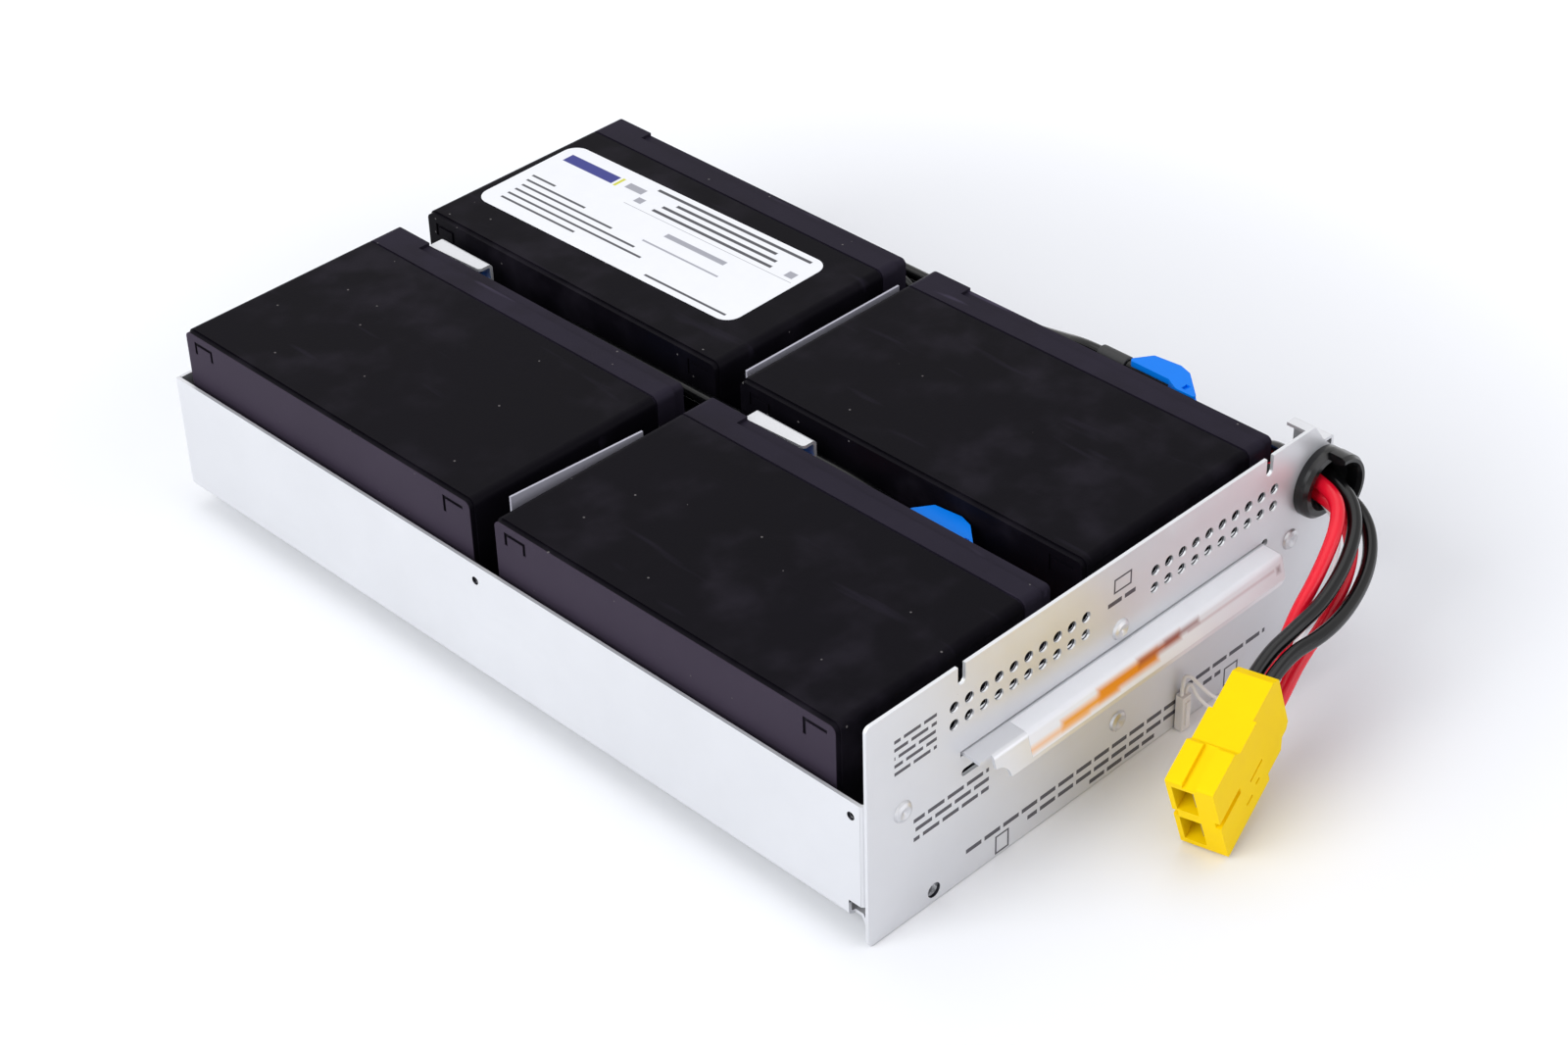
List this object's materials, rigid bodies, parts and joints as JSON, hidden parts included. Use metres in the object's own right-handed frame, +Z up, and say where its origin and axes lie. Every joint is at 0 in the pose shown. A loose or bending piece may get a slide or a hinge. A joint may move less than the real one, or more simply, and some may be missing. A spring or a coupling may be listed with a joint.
{
  "type": "ups battery cartridge",
  "caption": "Slide-in backup battery cartridge: sealed lead-acid blocks in a folded steel tray with a vented front panel, pull handle, flying leads and plug.",
  "frame": {"origin": "Under the middle of the footprint of tray and handle, at the height of the panel's bottom edge (the flying leads and their connector are left out of the footprint)", "axes": "+X to the right seen from the front, +Y from the front panel to the rear wall (the way it slides in), +Z up"},
  "size_m": [0.223, 0.3868, 0.084],
  "materials": {
    "battery_plastic": "fine texture",
    "black_sleeve": "matte",
    "black_wire": "semi-gloss",
    "blue_insulator": "semi-gloss",
    "bushing_plastic": "semi-gloss",
    "contact_metal": "silvered",
    "galvanised_steel": "satin",
    "label_paper": "gloss laminate",
    "pale_strip": "matte",
    "red_wire": "semi-gloss",
    "rivet_metal": "satin",
    "tinned_blade": "satin",
    "white_plastic": "satin",
    "white_wire": "semi-gloss",
    "yellow_plastic": "semi-gloss"
  },
  "bodies": {
    "root": {"battery_label": "label_paper", "blade_neg_front_left": "tinned_blade", "blade_neg_front_right": "tinned_blade", "blade_neg_rear_left": "tinned_blade", "blade_neg_rear_right": "tinned_blade", "blade_pos_front_left": "tinned_blade", "blade_pos_front_right": "tinned_blade", "blade_pos_rear_left": "tinned_blade", "blade_pos_rear_right": "tinned_blade", "boot_neg_front_left": "blue_insulator", "boot_neg_front_right": "blue_insulator", "boot_neg_rear_left": "blue_insulator", "boot_neg_rear_right": "blue_insulator", "boot_pos_front_left": "blue_insulator", "boot_pos_front_right": "blue_insulator", "boot_pos_rear_left": "blue_insulator", "boot_pos_rear_right": "blue_insulator", "cable_bushing": "bushing_plastic", "case_front_left": "battery_plastic", "case_front_right": "battery_plastic", "case_rear_left": "battery_plastic", "case_rear_right": "battery_plastic", "chassis_tray": "galvanised_steel", "connector_contact_1": "contact_metal", "connector_contact_2": "contact_metal", "connector_housing": "yellow_plastic", "gap_strip_left": "pale_strip", "gap_strip_right": "pale_strip", "guard_front": "galvanised_steel", "guard_rear": "galvanised_steel", "handle_label": "label_paper", "inner_black_a": "black_wire", "inner_black_b": "black_wire", "inner_red_a": "red_wire", "inner_red_b": "red_wire", "inner_sense_a": "white_wire", "inner_sense_b": "white_wire", "jumper_left": "black_wire", "jumper_right": "black_wire", "jumper_sleeve": "black_sleeve", "lead_black_a": "black_wire", "lead_black_b": "black_wire", "lead_red_a": "red_wire", "lead_red_b": "red_wire", "lid_front_left": "battery_plastic", "lid_front_right": "battery_plastic", "lid_rear_left": "battery_plastic", "lid_rear_right": "battery_plastic", "panel_angle": "galvanised_steel", "pull_handle": "galvanised_steel", "rivet_angle": "rivet_metal", "rivet_handle": "rivet_metal", "rivet_left": "rivet_metal", "rivet_right": "rivet_metal", "sense_plug": "white_plastic", "sense_wire_a": "white_wire", "sense_wire_b": "white_wire", "sensor_bead": "black_sleeve"}
  },
  "joints": []
}
